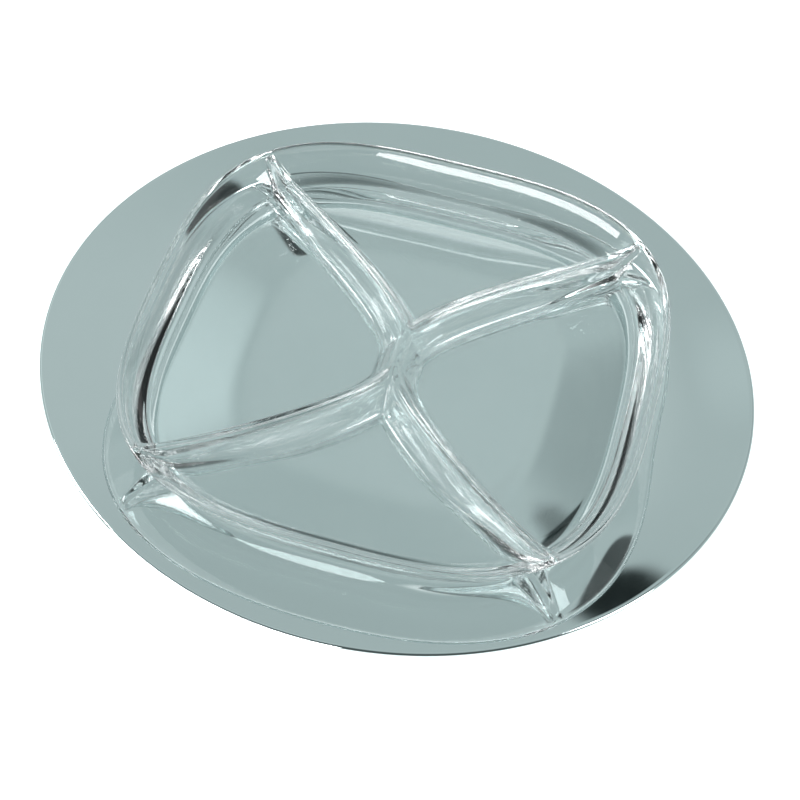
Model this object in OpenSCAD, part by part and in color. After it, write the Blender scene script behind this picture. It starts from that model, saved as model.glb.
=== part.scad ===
// Chip and dip server: a shallow oval metal tray, and a clear four-part dish that stands
// loose on it and lifts straight off. Millimetres, +Z up. The origin is the centre of the
// tray's foot, on the surface that the server stands on. +X is the tray's longer axis.

/* [Tray] */
// Length of the oval tray, along X
tray_length = 400; // [320:5:480]
// Width of the oval tray, along Y
tray_width = 376; // [310:4:460]
// Height of the tray's rim above the table
tray_height = 14.5; // [9:0.5:30]
// Thickness of the tray's metal
tray_wall = 3.5; // [1.5:0.25:6]
// Share of the tray, from its middle out, that lies flat
tray_flat = 0.7; // [0.5:0.01:0.9]
// Share of the rim's width over which it bends up: low is a tight bend, high is a long curve
tray_bend = 0.35; // [0.1:0.05:1.5]

/* [Dish] */
// Width of the dish across its flat sides, at the rim
dish_width = 288; // [240:4:340]
// Height of the dish, from its underside to its rim
dish_height = 26; // [18:0.5:45]
// Gap under the corners of the dish's foot, which stand loose on the tray
seat_gap = 0.3; // [0.1:0.1:1]
// Thickness of the dish's floor
dish_floor = 3; // [2:0.25:5]
// Thickness of the dish's wall at the rim
rim_wall = 3.5; // [2:0.25:5]
// How far the foot of the wall stands in from the rim
wall_flare = 12; // [6:1:20]
// How far in from the rim the floor starts to thicken toward the wall
draft_width = 56.5; // [30:0.5:70]
// How much the floor rises for each millimetre of that width
draft_slope = 0.16; // [0:0.01:0.2]
// Width of the inside sweep from the floor up to the rim
sweep_width = 18; // [12:1:40]
// Power of the inside sweep: a higher one is flatter, then steeper
sweep_power = 2; // [1.5:0.1:5]
// Squareness of the rim's outline: 2 is a circle, higher is squarer
rim_square = 3.1; // [2.4:0.1:4.5]

/* [Dividers] */
// Height of the dividers' crest above the dish's underside, at the middle
crest_height = 19.5; // [12:0.5:26]
// Height of the dividers' crest above the dish's underside, near the corners
crest_end = 22; // [14:0.5:28]
// Half width of a divider where it meets the floor
divider_half = 13; // [9:0.5:18]
// Thickness of the clear wall over the groove under a divider
divider_wall = 3; // [2:0.25:4]
// Share of its width that a divider loses on its way to the corner
divider_taper = 0.45; // [0:0.05:0.7]
// Half length of the ridge in the middle that joins the dividers
waist_half = 12; // [6:1:20]
// How strongly the ridge in the middle pulls the dividers along with it
waist_pull = 25; // [10:1:40]
// Angle by which the dividers lean out where they leave that ridge
waist_lean = 15; // [0:1:40]
// How far the dividers bow away from the straight diagonal
divider_bow = 12; // [0:1:20]
// How far from the corner the dividers' bow is set
tip_pull = 59; // [40:1:80]

/* [Hidden] */

// Tray: points around the oval and steps up the rim
oval_steps = 96;
rise_steps = 7;

// Dish: steps along a divider and along one side of the rim, and rings down to the floor
arm_steps = 12;
side_steps = 24;
ring_steps = 12;
// Share of the way to the middle of a compartment that the rings reach
ring_share = 0.96;
// Rings stand closer together near the crests and the rim by this power
ring_spread = 1.5;
// How sharply a divider and the wall stay apart where they run into each other
join_power = 4;
// Power of the outside of the wall, from its foot up: 1 is straight
wall_power = 1.05;
// Half width of the bend where the floor starts to thicken
draft_bend = 8;
// Power by which a crest climbs to the rim at its very end
tip_power = 10;
// Rounding of the rim
rim_round = 1;
// Vertices that neighbours share are rounded to this step, so that they are one point
snap_step = 0.0001;

half_length = tray_length / 2;
oval_ratio = tray_width / tray_length;
outer_rim = dish_width / 2;
inner_rim = outer_rim - rim_wall;
edge_height = dish_height - rim_round;
// Point on the floor of an end compartment and of a side compartment that rings close on
side_pole = [0.55 * inner_rim, 0];
end_pole = [0, 0.6 * inner_rim];

function snap(p) = [for (v = p) round(v / snap_step) * snap_step];

// ---- Tray ----

edge_centre = half_length - tray_wall / 2;
rise = tray_height - tray_wall;
function lift_share(r) = max(0, r / edge_centre - tray_flat) / (1 - tray_flat);
// A curve that leaves the flat gently and then runs straight
function bent(w) = sqrt(w * w + tray_bend * tray_bend) - tray_bend;
function mid_height(r) = tray_wall / 2 + rise * bent(lift_share(r)) / bent(1);
function mid_slope(r) =
    let (w = lift_share(r))
    atan(rise * w / (bent(1) * (bent(w) + tray_bend) * edge_centre * (1 - tray_flat)));
// A point on the profile: the middle of the metal at radius r, moved half a wall at an angle
function skin_point(r, angle) = [r, mid_height(r)] + tray_wall / 2 * [cos(angle), sin(angle)];
rise_radii = [for (k = [0 : rise_steps]) edge_centre * (tray_flat + (1 - tray_flat) * k / rise_steps)];
// The rounded edge passes through its own highest and outermost points
edge_angles = [90, 45, 0, (mid_slope(edge_centre) - 90) / 2];
tray_profile = concat(
    [for (r = rise_radii) skin_point(r, 90 + mid_slope(r))],
    [for (angle = edge_angles) skin_point(edge_centre, angle)],
    [for (k = [rise_steps : -1 : 0]) skin_point(rise_radii[k], mid_slope(rise_radii[k]) - 90)]
);
function oval_point(p, angle) = [p.x * cos(angle), p.x * oval_ratio * sin(angle), p.y];

module tray() {
    rows = len(tray_profile);
    points = [for (p = tray_profile) for (i = [0 : oval_steps - 1]) oval_point(p, 360 * i / oval_steps)];
    top = [for (i = [oval_steps - 1 : -1 : 0]) i];
    foot = [for (i = [0 : oval_steps - 1]) (rows - 1) * oval_steps + i];
    skin = [for (k = [0 : rows - 2]) for (i = [0 : oval_steps - 1])
        let (j = (i + 1) % oval_steps, a = k * oval_steps, b = a + oval_steps)
        each [[a + i, a + j, b + j], [a + i, b + j, b + i]]];
    color("silver") polyhedron(points = points, faces = concat([top, foot], skin));
}

// ---- Dish ----

function square_radius(p) =
    pow(pow(abs(p.x), rim_square) + pow(abs(p.y), rim_square), 1 / rim_square);
function rim_point(half, angle) =
    let (direction = [cos(angle), sin(angle)]) half * direction / square_radius(direction);

// The dish stands on the corners of its foot, which reach furthest out on the oval
function oval_reach(p) = norm([p.x, p.y / oval_ratio]);
foot_half = outer_rim - wall_flare;
foot_reach = max([for (angle = [0 : 3 : 90]) oval_reach(rim_point(foot_half, angle))]);
skin_reach = foot_reach + tray_wall / 2 * sin(mid_slope(foot_reach));
dish_bottom = mid_height(skin_reach) + tray_wall / 2 + seat_gap;

// The crest of one divider, from the ridge in the middle to the corner of the rim
corner = rim_point(inner_rim, 45);
function beside_diagonal(along, aside) = [along - aside, along + aside] / sqrt(2);
crest_controls = [
    [0, waist_half],
    [waist_pull * sin(waist_lean), waist_half + waist_pull * cos(waist_lean)],
    beside_diagonal(norm(corner) - tip_pull, divider_bow),
    corner
];
function bezier(c, t) = pow(1 - t, 3) * c[0] + 3 * t * pow(1 - t, 2) * c[1]
    + 3 * t * t * (1 - t) * c[2] + pow(t, 3) * c[3];
crest_line = [for (i = [0 : arm_steps]) bezier(crest_controls, i / arm_steps)];
// The same line with the middle of the dish before it
crest_path = concat([[0, 0]], crest_line);

// Nearest place on the crest path, as [distance, share of the way to the corner]
function on_segment(q, i) =
    let (a = crest_path[i], way = crest_path[i + 1] - a,
         s = min(1, max(0, (q - a) * way / (way * way))))
    [norm(q - a - s * way), max(0, i - 1 + s) / arm_steps];
function nearer(found, i) =
    i == len(found) - 1 ? found[i]
    : let (rest = nearer(found, i + 1)) found[i][0] <= rest[0] ? found[i] : rest;
function nearest(p) =
    let (q = [abs(p.x), abs(p.y)])
    nearer([for (i = [0 : arm_steps]) on_segment(q, i)], 0);

function crest_at(t) = crest_height + (crest_end - crest_height) * t * t
    + (edge_height - crest_end) * pow(t, tip_power);
function half_at(t) = divider_half * (1 - divider_taper * pow(t, 3));
function hump(u) = u >= 1 ? 0 : (1 + cos(180 * u)) / 2;
function joined(a, b) = pow(pow(a, join_power) + pow(b, join_power), 1 / join_power);

// Rise of the floor toward the wall, at a distance past the start of the draft
function draft_rise(past) = draft_slope * (past > draft_bend ? past
    : pow(max(0, past + draft_bend), 2) / (4 * draft_bend));

// Heights of the inside and of the underside above the dish's underside
function inside_height(p) =
    let (n = nearest(p), t = n[1],
         ridge = (crest_at(t) - dish_floor) * hump(n[0] / half_at(t)),
         out = square_radius(p) - inner_rim,
         u = max(0, (out + sweep_width) / sweep_width),
         steep = edge_height - dish_floor - draft_slope * draft_width,
         wall = draft_rise(out + draft_width) + steep * pow(u, sweep_power))
    min(edge_height, dish_floor + joined(ridge, wall));
function underside_height(p) =
    let (n = nearest(p), t = n[1],
         groove = (crest_at(t) - divider_wall) * hump(n[0] / (half_at(t) - 0.7 * divider_wall)),
         u = max(0, (square_radius(p) - outer_rim + wall_flare) / wall_flare),
         wall = edge_height * pow(u, wall_power))
    min(edge_height, joined(groove, wall));

// Closed outlines of the compartments, anticlockwise from above, out to the rim given
function rim_side(half, from) =
    [for (i = [0 : side_steps]) rim_point(half, from + 90 * i / side_steps)];
function flip(line, sx, sy) = [for (p = line) [sx * p.x, sy * p.y]];
function reversed(line) = [for (i = [len(line) - 1 : -1 : 0]) line[i]];
// A divider's crest without its last point, which the rim gives
crest_inner = [for (i = [0 : arm_steps - 1]) crest_line[i]];
// Under the dish the groove runs on to the inner rim's corner, inside the outer rim
function arm(half) = half > inner_rim ? crest_line : crest_inner;
function side_outline(half) = concat(
    [[0, 0]], flip(arm(half), 1, -1), rim_side(half, -45), reversed(arm(half))
);
function end_outline(half) = concat(
    arm(half), rim_side(half, 45), reversed(flip([for (i = [1 : len(arm(half)) - 1]) arm(half)[i]], -1, 1))
);

// Rings of points from an outline in towards its pole
function ring(outline, pole, k) =
    [for (p = outline) p + (pole - p) * ring_share * pow(k / ring_steps, ring_spread)];
function ring_points(outline, pole) =
    [for (k = [0 : ring_steps]) each ring(outline, pole, k)];
function turned(points, turn) = turn ? [for (p = points) -p] : points;
function raised(points, inside) =
    [for (p = points) snap([p.x, p.y, dish_bottom + (inside ? inside_height(p) : underside_height(p))])];

// Faces between rings of n points that start at index s, and the fan on the pole
function strip_faces(n, s, rings) = [for (k = [0 : rings - 1]) for (i = [0 : n - 1])
    let (j = (i + 1) % n, a = s + k * n, b = a + n)
    each [[a + i, b + j, a + j], [a + i, b + i, b + j]]];
function fan_faces(n, s) = [for (i = [0 : n - 1]) [s + i, s + n, s + (i + 1) % n]];
function backwards(faces) = [for (f = faces) [f[2], f[1], f[0]]];

// One compartment's inside or underside, as [points, faces]
function compartment(outline, pole, turn, inside) =
    let (n = len(outline),
         plan = turned(concat(ring_points(outline, pole), [pole]), turn),
         faces = concat(strip_faces(n, 0, ring_steps), fan_faces(n, ring_steps * n)))
    [raised(plan, inside), inside ? faces : backwards(faces)];
// The rim's rounded top, from the inside edge to the outside edge
rim_loops = [
    [inner_rim, edge_height],
    [inner_rim + rim_round * 0.3, dish_height - rim_round * 0.3],
    [inner_rim + rim_round, dish_height],
    [outer_rim - rim_round, dish_height],
    [outer_rim - rim_round * 0.3, dish_height - rim_round * 0.3],
    [outer_rim, edge_height]
];
rim_count = 4 * side_steps;
rim_top = [
    [for (loop = rim_loops) for (i = [0 : rim_count - 1])
        let (p = rim_point(loop[0], 90 * i / side_steps - 45)) snap([p.x, p.y, dish_bottom + loop[1]])],
    backwards(strip_faces(rim_count, 0, len(rim_loops) - 1))
];

dish_patches = concat(
    [rim_top],
    [for (inside = [true, false]) for (turn = [false, true]) for (side = [true, false])
        let (half = inside ? inner_rim : outer_rim)
        compartment(side ? side_outline(half) : end_outline(half), side ? side_pole : end_pole, turn, inside)]
);

module dish() {
    starts = [for (i = 0, s = 0; i < len(dish_patches); s = s + len(dish_patches[i][0]), i = i + 1) s];
    points = [for (patch = dish_patches) each patch[0]];
    faces = [for (i = [0 : len(dish_patches) - 1]) for (f = dish_patches[i][1]) f + starts[i] * [1, 1, 1]];
    color("lightcyan", 0.45) polyhedron(points = points, faces = faces);
}

tray();
dish();
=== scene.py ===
import math

import bpy
import numpy as np
from mathutils import Matrix, Vector


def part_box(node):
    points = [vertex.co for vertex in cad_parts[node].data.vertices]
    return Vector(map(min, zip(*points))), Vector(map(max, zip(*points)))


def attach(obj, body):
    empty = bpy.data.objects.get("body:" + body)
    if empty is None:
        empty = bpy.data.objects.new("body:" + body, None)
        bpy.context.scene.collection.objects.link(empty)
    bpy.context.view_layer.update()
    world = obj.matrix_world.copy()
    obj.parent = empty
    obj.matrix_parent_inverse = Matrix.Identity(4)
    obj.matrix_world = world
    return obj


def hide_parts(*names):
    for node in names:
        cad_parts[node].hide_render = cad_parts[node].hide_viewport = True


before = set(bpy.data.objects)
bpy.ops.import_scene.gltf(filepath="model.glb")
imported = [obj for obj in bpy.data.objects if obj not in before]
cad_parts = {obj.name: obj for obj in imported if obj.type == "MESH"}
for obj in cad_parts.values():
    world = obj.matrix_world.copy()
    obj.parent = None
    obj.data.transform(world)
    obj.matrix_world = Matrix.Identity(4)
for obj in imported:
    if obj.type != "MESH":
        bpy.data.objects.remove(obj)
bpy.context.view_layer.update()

MM = 0.001

# ---------------------------------------------------------------- sizes, in millimetres
tray_low, tray_high = (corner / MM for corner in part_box("tray"))
dish_low, dish_high = (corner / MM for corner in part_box("dish"))

tray_length = tray_high.x - tray_low.x
tray_width = tray_high.y - tray_low.y
tray_height = tray_high.z
tray_wall = 3.5
tray_flat = 0.7
tray_bend = 0.35

dish_bottom = dish_low.z
outer_rim = dish_high.x
rim_wall = 3.5
rim_round = 1.0
inner_rim = outer_rim - rim_wall
edge_height = dish_high.z - dish_bottom - rim_round
dish_floor = 3.0
wall_flare = 12.0
foot_bend = 0.1
draft_width = 56.5
draft_bend = 8.0
draft_slope = 0.16
sweep_width = 18.0
sweep_power = 2.0
rim_square = 3.1
crest_height = 19.5
crest_end = 22.0
tip_power = 10
divider_half = 13.0
divider_wall = 3.0
divider_taper = 0.45
waist_half = 12.0
waist_pull = 25.0
waist_lean = 15.0
divider_bow = 12.0
tip_pull = 59.0
join_power = 4

# ---------------------------------------------------------------- the dish's heights


def square_radius(x, y):
    """Half width of the rounded square that passes through a point."""
    return (np.abs(x) ** rim_square + np.abs(y) ** rim_square) ** (1 / rim_square)


def crest_path(steps):
    """Points along one divider's crest, from the middle of the dish to the corner of the rim."""
    corner = inner_rim / square_radius(1.0, 1.0)
    tip = corner * math.sqrt(2)
    lean = math.radians(waist_lean)
    controls = np.array([
        [0, waist_half],
        [waist_pull * math.sin(lean), waist_half + waist_pull * math.cos(lean)],
        [(tip - tip_pull - divider_bow) / math.sqrt(2), (tip - tip_pull + divider_bow) / math.sqrt(2)],
        [corner, corner],
    ])
    t = np.linspace(0, 1, steps + 1)[:, None]
    near = (1 - t) ** 3 * controls[0] + 3 * t * (1 - t) ** 2 * controls[1]
    far = 3 * t ** 2 * (1 - t) * controls[2] + t ** 3 * controls[3]
    return np.vstack([[0, 0], near + far])


CREST_STEPS = 36
CREST = crest_path(CREST_STEPS)


def nearest_crest(x, y):
    """Distance to the crest, and the share of the way to the corner, for arrays of points."""
    qx, qy = np.abs(x), np.abs(y)
    best = np.full(qx.shape, 1e9)
    share = np.zeros(qx.shape)
    for i in range(len(CREST) - 1):
        (ax, ay), (wx, wy) = CREST[i], CREST[i + 1] - CREST[i]
        s = np.clip(((qx - ax) * wx + (qy - ay) * wy) / (wx * wx + wy * wy), 0, 1)
        d = np.hypot(qx - ax - s * wx, qy - ay - s * wy)
        closer = d < best
        best = np.where(closer, d, best)
        share = np.where(closer, np.maximum(0, i - 1 + s) / CREST_STEPS, share)
    return best, share


def crest_at(t):
    return crest_height + (crest_end - crest_height) * t ** 2 + (edge_height - crest_end) * t ** tip_power


def half_at(t):
    return divider_half * (1 - divider_taper * t ** 3)


def hump(u):
    return np.where(u >= 1, 0, (1 + np.cos(np.pi * np.minimum(u, 1))) / 2)


def joined(a, b):
    return (a ** join_power + b ** join_power) ** (1 / join_power)


def tight_bend(u, half):
    """Flat below 0 and straight above it, with a round bend of the given half width between."""
    bend = np.clip(u + half, 0, 2 * half) ** 2 / (4 * half)
    return np.where(u > half, u, bend)


def inside_height(x, y):
    d, t = nearest_crest(x, y)
    ridge = (crest_at(t) - dish_floor) * hump(d / half_at(t))
    reach = square_radius(x, y)
    draft = draft_slope * draft_bend * tight_bend((reach - inner_rim + draft_width) / draft_bend, 1.0)
    u = np.maximum(0, (reach - inner_rim + sweep_width) / sweep_width)
    steep = edge_height - dish_floor - draft_slope * draft_width
    wall = draft + steep * u ** sweep_power
    return np.minimum(edge_height, dish_floor + joined(ridge, wall))


def under_height(x, y):
    d, t = nearest_crest(x, y)
    groove = (crest_at(t) - divider_wall) * hump(d / (half_at(t) - 0.7 * divider_wall))
    u = (square_radius(x, y) - outer_rim + wall_flare) / wall_flare
    wall = edge_height * tight_bend(u, foot_bend)
    return np.minimum(edge_height, joined(groove, wall))


# ---------------------------------------------------------------- meshes

RIM_TURNS = 8
OVAL_STEPS = 256
RISE_STEPS = 40
FLAT_STEPS = 12


def smooth_piece(name, points, faces, material, body, slot, node):
    mesh = bpy.data.meshes.new(name)
    mesh.from_pydata((np.asarray(points) * MM).tolist(), [], faces)
    mesh.validate()
    mesh.update()
    mesh.shade_smooth()
    mesh.materials.append(material)
    piece = bpy.data.objects.new(name, mesh)
    bpy.context.scene.collection.objects.link(piece)
    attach(piece, body)
    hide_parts(node)
    return piece


def cell_marks():
    """Shares of the way out to the rim: wide steps on the floor, close steps on the wall."""
    floor = np.arange(0, 100, 1.6)
    sweep = np.arange(100, 128, 1.0)
    wall = np.linspace(128, outer_rim, 28)
    return np.concatenate([floor, sweep, wall]) / outer_rim


def square_grid(half):
    """A grid of points whose outer edge is the rounded square of the given half width."""
    marks = cell_marks()
    line = np.concatenate([-marks[:0:-1], marks])
    a, b = np.meshgrid(line, line, indexing="ij")
    reach = np.maximum(np.abs(a), np.abs(b))
    scale = half * reach / np.maximum(square_radius(a, b), 1e-9)
    return a * scale, b * scale


def loop_of(n):
    """Numbers of the grid's edge points, anticlockwise from above."""
    low = [i * n for i in range(n - 1)]
    right = [(n - 1) * n + j for j in range(n - 1)]
    high = [i * n + n - 1 for i in range(n - 1, 0, -1)]
    left = [j for j in range(n - 1, 0, -1)]
    return low + right + high + left


def dish_shell():
    """Points and faces of the glass: the inside, the underside, and the rounded rim between them."""
    ix, iy = square_grid(inner_rim)
    ux, uy = square_grid(outer_rim)
    n = len(ix)
    inside = np.stack([ix, iy, dish_bottom + inside_height(ix, iy)], -1).reshape(-1, 3)
    under = np.stack([ux, uy, dish_bottom + under_height(ux, uy)], -1).reshape(-1, 3)
    loop = loop_of(n)
    under_start = n * n
    rim_start = 2 * n * n
    middle = (inner_rim + outer_rim) / 2
    directions = under[loop][:, :2] / outer_rim
    rims = []
    for k in range(1, RIM_TURNS):
        angle = math.pi * (1 - k / RIM_TURNS)
        half = middle + rim_wall / 2 * math.cos(angle)
        height = dish_bottom + edge_height + rim_round * math.sin(angle)
        rims.append(np.column_stack([directions * half, np.full(len(loop), height)]))
    faces = []
    for i in range(n - 1):
        for j in range(n - 1):
            a, b, c, d = i * n + j, (i + 1) * n + j, (i + 1) * n + j + 1, i * n + j + 1
            faces.append((a, b, c, d))
            faces.append((under_start + d, under_start + c, under_start + b, under_start + a))
    count = len(loop)
    rows = [loop]
    for k in range(RIM_TURNS - 1):
        rows.append([rim_start + k * count + i for i in range(count)])
    rows.append([under_start + i for i in loop])
    for inner_row, outer_row in zip(rows, rows[1:]):
        for i in range(count):
            j = (i + 1) % count
            faces.append((inner_row[i], outer_row[i], outer_row[j], inner_row[j]))
    return np.vstack([inside, under] + rims), faces


def tray_profile():
    """Radius and height along the tray's skin, from the middle of the top round to the foot."""
    edge_centre = tray_length / 2 - tray_wall / 2
    rise = tray_height - tray_wall

    def lift(r):
        share = np.maximum(0, r / edge_centre - tray_flat) / (1 - tray_flat)
        reach = math.hypot(share, tray_bend)
        full = math.hypot(1, tray_bend) - tray_bend
        slope = rise * share / (full * reach * edge_centre * (1 - tray_flat))
        return tray_wall / 2 + rise * (reach - tray_bend) / full, math.atan(slope)

    radii = list(edge_centre * (tray_flat + (1 - tray_flat) * np.linspace(0, 1, RISE_STEPS + 1)))
    flat = [edge_centre * tray_flat * k / FLAT_STEPS for k in range(FLAT_STEPS)]

    def skin(r, angle):
        height, _ = lift(r)
        return r + tray_wall / 2 * math.cos(angle), height + tray_wall / 2 * math.sin(angle)

    quarter = math.pi / 2
    top = [(r, tray_wall) for r in flat] + [skin(r, quarter + lift(r)[1]) for r in radii]
    last = quarter + lift(edge_centre)[1]
    first = lift(edge_centre)[1] - quarter
    edge = [skin(edge_centre, a) for a in np.linspace(last, quarter, 5)[1:]]
    edge += [skin(edge_centre, a) for a in np.linspace(quarter, 0, 7)[1:]]
    edge += [skin(edge_centre, a) for a in np.linspace(0, first, 4)[1:]]
    foot = [skin(r, lift(r)[1] - quarter) for r in reversed(radii[:-1])]
    foot += [(r, 0) for r in reversed(flat)]
    return top + edge + foot


def tray_shell():
    """Points and faces of the tray: its profile carried round the oval."""
    profile = tray_profile()
    angles = 2 * math.pi * np.arange(OVAL_STEPS) / OVAL_STEPS
    oval = tray_width / tray_length
    points = []
    for r, z in profile[1:-1]:
        points += [(r * math.cos(a), r * oval * math.sin(a), z) for a in angles]
    faces = []
    for k in range(len(profile) - 3):
        ring = k * OVAL_STEPS
        for i in range(OVAL_STEPS):
            j = (i + 1) % OVAL_STEPS
            faces.append((ring + j, ring + i, ring + OVAL_STEPS + i, ring + OVAL_STEPS + j))
    top, foot = len(points), len(points) + 1
    points += [(0, 0, tray_wall), (0, 0, 0)]
    last = (len(profile) - 3) * OVAL_STEPS
    for i in range(OVAL_STEPS):
        j = (i + 1) % OVAL_STEPS
        faces.append((top, i, j))
        faces.append((foot, last + j, last + i))
    return points, faces


# ---------------------------------------------------------------- finishes


def wire(tree, source, output, target, entry):
    tree.links.new(source.outputs[output], target.inputs[entry])


def surface_marks():
    """Marks that all the surfaces share: soft clouds, hair scratches and slow waves."""
    group = bpy.data.node_groups.new("surface_marks", "ShaderNodeTree")
    for label in ("Cloud Scale", "Rough Low", "Rough High", "Scratch Scale", "Wave Scale"):
        group.interface.new_socket(label, in_out="INPUT", socket_type="NodeSocketFloat")
    for label in ("Roughness", "Cloud", "Scratches", "Wave"):
        group.interface.new_socket(label, in_out="OUTPUT", socket_type="NodeSocketFloat")
    nodes = group.nodes
    entry = nodes.new("NodeGroupInput")
    leave = nodes.new("NodeGroupOutput")
    place = nodes.new("ShaderNodeTexCoord")

    cloud = nodes.new("ShaderNodeTexNoise")
    cloud.inputs["Detail"].default_value = 5.0
    cloud.inputs["Roughness"].default_value = 0.62
    wire(group, place, "Object", cloud, "Vector")
    wire(group, entry, "Cloud Scale", cloud, "Scale")
    spread = nodes.new("ShaderNodeMapRange")
    spread.inputs["From Min"].default_value = 0.3
    spread.inputs["From Max"].default_value = 0.7
    wire(group, cloud, "Fac", spread, "Value")
    wire(group, entry, "Rough Low", spread, "To Min")
    wire(group, entry, "Rough High", spread, "To Max")
    wire(group, spread, "Result", leave, "Roughness")
    wire(group, cloud, "Fac", leave, "Cloud")

    stretch = nodes.new("ShaderNodeMapping")
    stretch.inputs["Rotation"].default_value = (0.0, 0.0, 0.6)
    stretch.inputs["Scale"].default_value = (1.0, 0.045, 1.0)
    wire(group, place, "Object", stretch, "Vector")
    hair = nodes.new("ShaderNodeTexNoise")
    hair.inputs["Detail"].default_value = 2.0
    wire(group, stretch, "Vector", hair, "Vector")
    wire(group, entry, "Scratch Scale", hair, "Scale")
    thin = nodes.new("ShaderNodeMapRange")
    thin.inputs["From Min"].default_value = 0.66
    thin.inputs["From Max"].default_value = 0.72
    wire(group, hair, "Fac", thin, "Value")
    wire(group, thin, "Result", leave, "Scratches")

    wave = nodes.new("ShaderNodeTexNoise")
    wave.inputs["Detail"].default_value = 0.0
    wire(group, place, "Object", wave, "Vector")
    wire(group, entry, "Wave Scale", wave, "Scale")
    wire(group, wave, "Fac", leave, "Wave")
    return group


SURFACE_MARKS = surface_marks()


def finish_base(name):
    """A material with its shader and its surface marks, ready to be joined up."""
    material = bpy.data.materials.new(name)
    material.use_nodes = True
    tree = material.node_tree
    shader = tree.nodes["Principled BSDF"]
    marks = tree.nodes.new("ShaderNodeGroup")
    marks.node_tree = SURFACE_MARKS
    wire(tree, marks, "Roughness", shader, "Roughness")
    return material, tree, shader, marks


def set_marks(marks, **values):
    for label, value in values.items():
        marks.inputs[label.replace("_", " ")].default_value = value


def tint_by_cloud(tree, shader, marks, low, high):
    """Lets the base colour drift slightly with the clouds."""
    drift = tree.nodes.new("ShaderNodeMix")
    drift.data_type = "RGBA"
    drift.inputs["A"].default_value = (*low, 1.0)
    drift.inputs["B"].default_value = (*high, 1.0)
    tree.links.new(marks.outputs["Cloud"], drift.inputs["Factor"])
    tree.links.new(drift.outputs["Result"], shader.inputs["Base Color"])


def relief(tree, shader, marks, wave_depth, scratch_depth):
    """Slow waves and hair scratches as one bump, with depths in metres."""
    fine = tree.nodes.new("ShaderNodeMath")
    fine.operation = "MULTIPLY"
    fine.inputs[1].default_value = -scratch_depth / wave_depth
    wire(tree, marks, "Scratches", fine, 0)
    both = tree.nodes.new("ShaderNodeMath")
    both.operation = "ADD"
    wire(tree, marks, "Wave", both, 0)
    wire(tree, fine, "Value", both, 1)
    bump = tree.nodes.new("ShaderNodeBump")
    bump.inputs["Distance"].default_value = wave_depth
    wire(tree, both, "Value", bump, "Height")
    wire(tree, bump, "Normal", shader, "Normal")


def mirror_polished_metal():
    material, tree, shader, marks = finish_base("mirror_polished_metal")
    shader.inputs["Metallic"].default_value = 1.0
    set_marks(marks, Cloud_Scale=16.0, Scratch_Scale=700.0, Wave_Scale=11.0)
    set_marks(marks, Rough_Low=0.02, Rough_High=0.05)
    tint_by_cloud(tree, shader, marks, (0.74, 0.81, 0.81), (0.79, 0.86, 0.86))
    relief(tree, shader, marks, wave_depth=0.00006, scratch_depth=0.0000004)
    return material


def clear_moulded_glass():
    material, tree, shader, marks = finish_base("clear_moulded_glass")
    shader.inputs["Transmission Weight"].default_value = 1.0
    shader.inputs["IOR"].default_value = 1.5
    set_marks(marks, Cloud_Scale=30.0, Scratch_Scale=500.0, Wave_Scale=24.0)
    set_marks(marks, Rough_Low=0.0, Rough_High=0.012)
    tint_by_cloud(tree, shader, marks, (0.975, 0.99, 0.99), (0.99, 1.0, 1.0))
    relief(tree, shader, marks, wave_depth=0.00003, scratch_depth=0.0000001)
    return material


def pale_table_painted_glow():
    material, tree, shader, marks = finish_base("pale_table_painted_glow")
    # Painted light: the table glows a little, which brightens the floor, washes out the tray's shadow on it
    # and lights the glass from below.
    shader.inputs["Emission Color"].default_value = (1.0, 1.0, 1.0, 1.0)
    shader.inputs["Emission Strength"].default_value = 0.5
    set_marks(marks, Cloud_Scale=5.0, Rough_Low=0.75, Rough_High=0.9)
    tint_by_cloud(tree, shader, marks, (0.90, 0.90, 0.90), (0.93, 0.93, 0.93))
    return material


# ---------------------------------------------------------------- the table and the studio


def table_top():
    """A wide plain top, a hair below the tray's foot."""
    half = 4.0
    drop = -0.0004
    mesh = bpy.data.meshes.new("table_top")
    corners = [(-half, -half, drop), (half, -half, drop), (half, half, drop), (-half, half, drop)]
    mesh.from_pydata(corners, [], [(0, 1, 2, 3)])
    mesh.materials.append(pale_table_painted_glow())
    top = bpy.data.objects.new("table_top", mesh)
    bpy.context.scene.collection.objects.link(top)


SOFTBOX_DISTANCE = 2.0


def toward(azimuth, elevation):
    """Direction from the server: azimuth clockwise from +Y seen from above, elevation above the table."""
    a, e = math.radians(azimuth), math.radians(elevation)
    return Vector((math.sin(a) * math.cos(e), math.cos(a) * math.cos(e), math.sin(e)))


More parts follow.
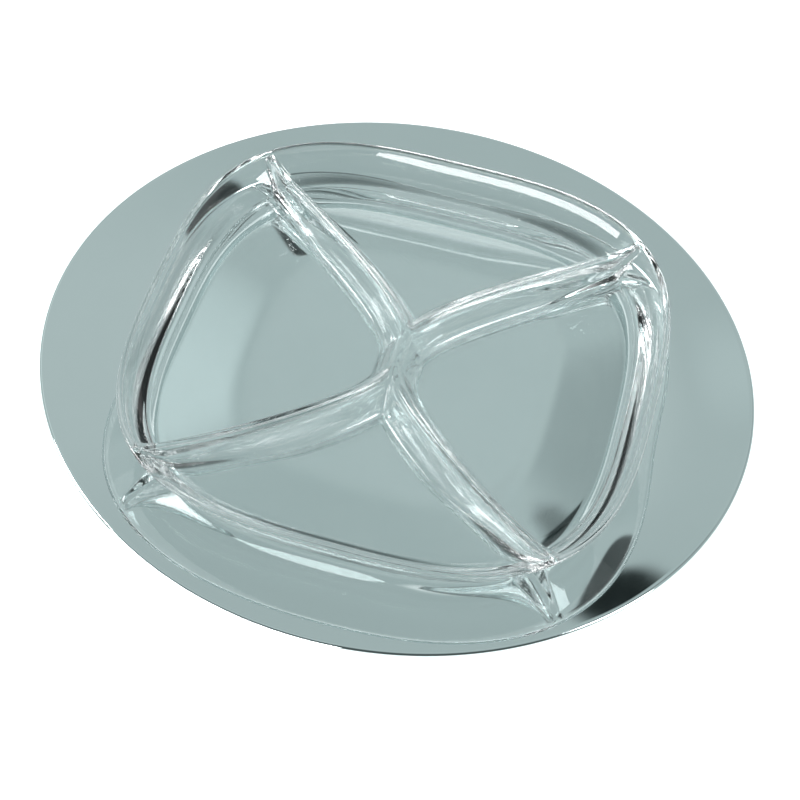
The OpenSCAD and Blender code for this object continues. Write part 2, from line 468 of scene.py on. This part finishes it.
def studio_dome(base, backdrop, panels):
    """A grey dome with soft panels, which light and mirror in the server, and a plain pale backdrop.

    Each panel is its azimuth, its elevation, its half width and its soft edge in degrees, and its colour.
    A later panel lies over the earlier ones.
    """
    world = bpy.data.worlds.new("studio")
    bpy.context.scene.world = world
    world.use_nodes = True
    tree = world.node_tree
    tree.nodes.clear()
    out = tree.nodes.new("ShaderNodeOutputWorld")
    place = tree.nodes.new("ShaderNodeTexCoord")
    glow = base
    previous = None
    for azimuth, elevation, wide, soft, colour in panels:
        aim = tree.nodes.new("ShaderNodeVectorMath")
        aim.operation = "DOT_PRODUCT"
        aim.inputs[1].default_value = toward(azimuth, elevation)
        wire(tree, place, "Generated", aim, 0)
        edge = tree.nodes.new("ShaderNodeMapRange")
        edge.interpolation_type = "SMOOTHSTEP"
        edge.inputs["From Min"].default_value = math.cos(math.radians(wide + soft))
        edge.inputs["From Max"].default_value = math.cos(math.radians(wide))
        wire(tree, aim, "Value", edge, "Value")
        mix = tree.nodes.new("ShaderNodeMix")
        mix.data_type = "RGBA"
        mix.inputs["A"].default_value = (*glow, 1.0)
        mix.inputs["B"].default_value = (*colour, 1.0)
        wire(tree, edge, "Result", mix, "Factor")
        if previous is not None:
            wire(tree, previous, "Result", mix, "A")
        previous = mix
    seen = tree.nodes.new("ShaderNodeLightPath")
    dome = tree.nodes.new("ShaderNodeBackground")
    wire(tree, previous, "Result", dome, "Color")
    plain = tree.nodes.new("ShaderNodeBackground")
    plain.inputs["Color"].default_value = (*backdrop, 1.0)
    choose = tree.nodes.new("ShaderNodeMixShader")
    wire(tree, seen, "Is Camera Ray", choose, "Fac")
    tree.links.new(dome.outputs["Background"], choose.inputs[1])
    tree.links.new(plain.outputs["Background"], choose.inputs[2])
    wire(tree, choose, "Shader", out, "Surface")


def softbox(name, azimuth, elevation, wide, high, power):
    lamp = bpy.data.lights.new(name, "AREA")
    lamp.shape = "RECTANGLE"
    lamp.size = wide
    lamp.size_y = high
    lamp.energy = power
    box = bpy.data.objects.new(name, lamp)
    box.location = toward(azimuth, elevation) * SOFTBOX_DISTANCE
    box.rotation_mode = "QUATERNION"
    box.rotation_quaternion = (-toward(azimuth, elevation)).to_track_quat("-Z", "Y")
    bpy.context.scene.collection.objects.link(box)


def studio_camera():
    """Stands before the tray, a little to its right, and looks down about 52 degrees with a slight roll."""
    data = bpy.data.cameras.new("studio_camera")
    data.sensor_width = 36.0
    data.lens = 82.6
    data.clip_start = 0.05
    data.clip_end = 30.0
    camera = bpy.data.objects.new("studio_camera", data)
    azimuth, elevation, roll = math.radians(10.61), math.radians(52.19), math.radians(6.0)
    level_reach = math.cos(elevation)
    back = Vector((math.sin(azimuth) * level_reach, -math.cos(azimuth) * level_reach, math.sin(elevation)))
    level = Vector((math.cos(azimuth), math.sin(azimuth), 0))
    upright = back.cross(level)
    right = math.cos(roll) * level + math.sin(roll) * upright
    up = back.cross(right)
    aim = Vector((6.5, -19.6, 3.5)) * MM
    distance = 1.0204
    axes = Matrix((right, up, back)).transposed()
    camera.matrix_world = Matrix.Translation(aim + back * distance) @ axes.to_4x4()
    bpy.context.scene.collection.objects.link(camera)
    bpy.context.scene.camera = camera


# ---------------------------------------------------------------- the server

glass = clear_moulded_glass()
metal = mirror_polished_metal()
smooth_piece("glass_dish", *dish_shell(), glass, "dish", "clear_glass", "dish")
smooth_piece("oval_tray", *tray_shell(), metal, "tray", "polished_metal", "tray")
for node, material in (("dish", glass), ("tray", metal)):
    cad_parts[node].data.materials.clear()
    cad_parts[node].data.materials.append(material)

table_top()
studio_dome(
    base=(0.44, 0.515, 0.515),
    backdrop=(0.95, 0.95, 0.95),
    panels=[
        (-3, 51, 6, 12, (0.50, 0.575, 0.575)),
        (-46, 47, 6, 8, (0.66, 0.76, 0.76)),
        (28, 50, 7, 6, (0.34, 0.40, 0.40)),
        (26.5, 61, 6, 1.2, (0.01, 0.015, 0.015)),
        (-20.5, 33.5, 3.8, 0.6, (0.01, 0.015, 0.015)),
        (180, 25, 50, 25, (0.08, 0.10, 0.10)),
        (0, -90, 98, 6, (0.95, 1.0, 1.0)),
    ],
)
softbox("strip_softbox", -150, 28, 2.2, 0.25, 24.0)
softbox("right_softbox", 100, 45, 0.4, 0.8, 16.0)
softbox("left_softbox", -95, 40, 0.4, 0.8, 16.0)
studio_camera()

scene = bpy.context.scene
scene.view_settings.view_transform = "Standard"
scene.cycles.max_bounces = 24
scene.cycles.glossy_bounces = 16
scene.cycles.transmission_bounces = 24
